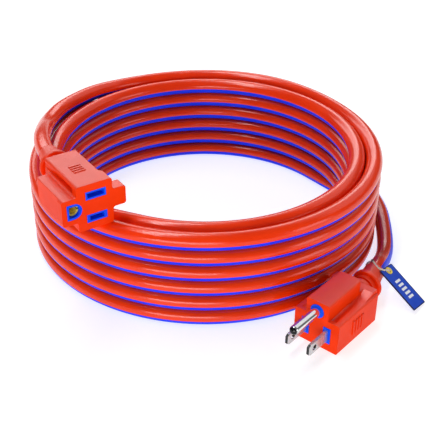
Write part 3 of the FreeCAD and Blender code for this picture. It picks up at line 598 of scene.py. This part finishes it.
def add_tube(vertices, faces, line, radius, sides):
    """Adds a round tube along a line, with flat ends, to lists of vertices and faces."""
    first = len(vertices)
    along = tangents(line)
    for place, direction, side in zip(line, along, across_line(along)):
        up = direction.cross(side)
        for index in range(sides):
            turn = 2 * math.pi * index / sides
            vertices.append(place + (side * math.cos(turn) + up * math.sin(turn)) * radius)
    for ring in range(len(line) - 1):
        for index in range(sides):
            a = first + ring * sides + index
            b = first + ring * sides + (index + 1) % sides
            faces.append((a, b, b + sides, a + sides))
    faces.append(tuple(first + index for index in reversed(range(sides))))
    last = first + (len(line) - 1) * sides
    faces.append(tuple(last + index for index in range(sides)))


def mesh_object(name, vertices, faces, material):
    mesh = bpy.data.meshes.new(name)
    mesh.from_pydata(vertices, [], faces)
    mesh.materials.append(material)
    mesh.polygons.foreach_set("use_smooth", [True] * len(faces))
    mesh.update()
    item = bpy.data.objects.new(name, mesh)
    bpy.context.scene.collection.objects.link(item)
    return item


# the radius of each ply, its distance from the string's middle, and the length of one twist
PLY_RADIUS = 0.0003
PLY_OFFSET = 0.00026
PLY_LAY = 0.0032


def make_string():
    """Two plies twisted round one line."""
    line = spline_line(STRING_ROUTE, 16)
    along = tangents(line)
    sides = across_line(along)
    vertices = []
    faces = []
    twist = 0.0
    plies = ([], [])
    for index, place in enumerate(line):
        if index:
            twist += (place - line[index - 1]).length * 2 * math.pi / PLY_LAY
        side = sides[index]
        up = along[index].cross(side)
        for ply, start in zip(plies, (0, math.pi)):
            turn = twist + start
            ply.append(place + (side * math.cos(turn) + up * math.sin(turn)) * PLY_OFFSET)
    for ply in plies:
        add_tube(vertices, faces, ply, PLY_RADIUS, 10)
    total = sum((after - before).length for before, after in zip(line, line[1:]))
    cotton = fibre("string_cotton", (0.66, 0.6, 0.46), (0.9, 0.85, 0.7))
    return mesh_object("tag_string_plies", vertices, faces, cotton), line, total


# the knot: its tilt, its size across and along, its strand, and how its two ends leave and droop
KNOT_TILT = (0.5, 0.3, 0.8)
KNOT_ACROSS = 0.00036
KNOT_ALONG = 0.0004
KNOT_STRAND = 0.00028
KNOT_STEPS = 60
KNOT_ENDS = ((-0.0002, -0.0004, 0.0008), (0.0003, 0.0004, 0.001))
KNOT_END_STRAND = 0.00025
KNOT_DROOP = 0.0001


def make_knot(centre):
    """An overhand knot, drawn as a trefoil, with two short ends."""
    tilt = Euler(KNOT_TILT).to_matrix()
    line = []
    for index in range(KNOT_STEPS + 1):
        turn = 2 * math.pi * index / KNOT_STEPS
        reach = KNOT_ACROSS * (1.4 + math.cos(3 * turn))
        rise = KNOT_ALONG * math.sin(3 * turn)
        place = Vector((reach * math.cos(2 * turn), reach * math.sin(2 * turn), rise))
        line.append(centre + tilt @ place)
    vertices = []
    faces = []
    add_tube(vertices, faces, line, KNOT_STRAND, 8)
    for end in KNOT_ENDS:
        tail = []
        for step in range(4):
            droop = Vector((0, 0, -KNOT_DROOP * step * step))
            tail.append(centre + Vector(end) * (0.3 + 0.35 * step) + droop)
        add_tube(vertices, faces, tail, KNOT_END_STRAND, 8)
    # the knot's near-black colour is painted shade; the string itself is cream
    painted_shade_black = fibre("string_knot_waxed", (0.03, 0.025, 0.02), (0.09, 0.075, 0.05))
    return mesh_object("tag_string_knot", vertices, faces, painted_shade_black)


string, string_line, string_length = make_string()
knot = make_knot(Vector(STRING_ROUTE[0]))
print("string length", round(string_length, 4))
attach(string, "string_loop")
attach(knot, "string_loop")
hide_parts("tag_string")


# ---------------------------------------------------------------- studio


FLOOR_HALF = 12
# each softbox: its name, place and aim, its width and height, and its brightness
SOFTBOXES = [
    ("front", (-0.4, -1.7, 0.26), (0, 0, 0.03), 1.3, 0.45, 7.5),
    ("overhead", (-0.3, 0.12, 1.3), (0, 0, 0), 1.4, 0.16, 12),
    ("back", (-0.53, 1.98, 1.09), (0, 0, 0.05), 2.8, 0.65, 3.2),
    ("side", (1.1, 1.31, 1.54), (0, 0, 0.05), 3.0, 1.1, 0.8),
    ("right", (1.8, -0.9, 0.5), (0, 0, 0.03), 0.8, 0.8, 3),
]


def make_floor():
    """A pale paper floor that glows a little, so that it stays white under the soft light."""
    mesh = bpy.data.meshes.new("floor")
    half = FLOOR_HALF
    corners = [(-half, -half, 0), (half, -half, 0), (half, half, 0), (-half, half, 0)]
    mesh.from_pydata(corners, [], [(0, 1, 2, 3)])
    floor = bpy.data.objects.new("floor", mesh)
    bpy.context.scene.collection.objects.link(floor)
    material, tree, shader = new_material("floor_paper")
    grain = noise(tree, 300, 2)
    tone = ramp(tree, grain, "Fac", [(0.3, (0.44, 0.44, 0.44)), (0.7, (0.48, 0.48, 0.48))])
    link(tree, tone, "Color", shader, "Base Color")
    shader.inputs["Roughness"].default_value = 0.9
    shader.inputs["Emission Color"].default_value = (1, 1, 1, 1)
    shader.inputs["Emission Strength"].default_value = 0.75
    mesh.materials.append(material)


def make_softbox(name, place, aim, width, height, brightness):
    """A rectangular light of that many metres whose face has the given radiance."""
    data = bpy.data.lights.new(name, "AREA")
    data.shape = "RECTANGLE"
    data.size = width
    data.size_y = height
    data.energy = math.pi * width * height * brightness
    light = bpy.data.objects.new(name, data)
    light.location = place
    direction = Vector(aim) - Vector(place)
    light.rotation_mode = "QUATERNION"
    light.rotation_quaternion = direction.to_track_quat("-Z", "Y")
    bpy.context.scene.collection.objects.link(light)


def make_world():
    world = bpy.data.worlds.new("studio")
    bpy.context.scene.world = world
    world.use_nodes = True
    background = world.node_tree.nodes["Background"]
    background.inputs["Color"].default_value = (1, 1, 1, 1)
    background.inputs["Strength"].default_value = 0.12


make_floor()
make_world()
for softbox in SOFTBOXES:
    make_softbox(*softbox)
bpy.context.scene.view_settings.view_transform = "Standard"
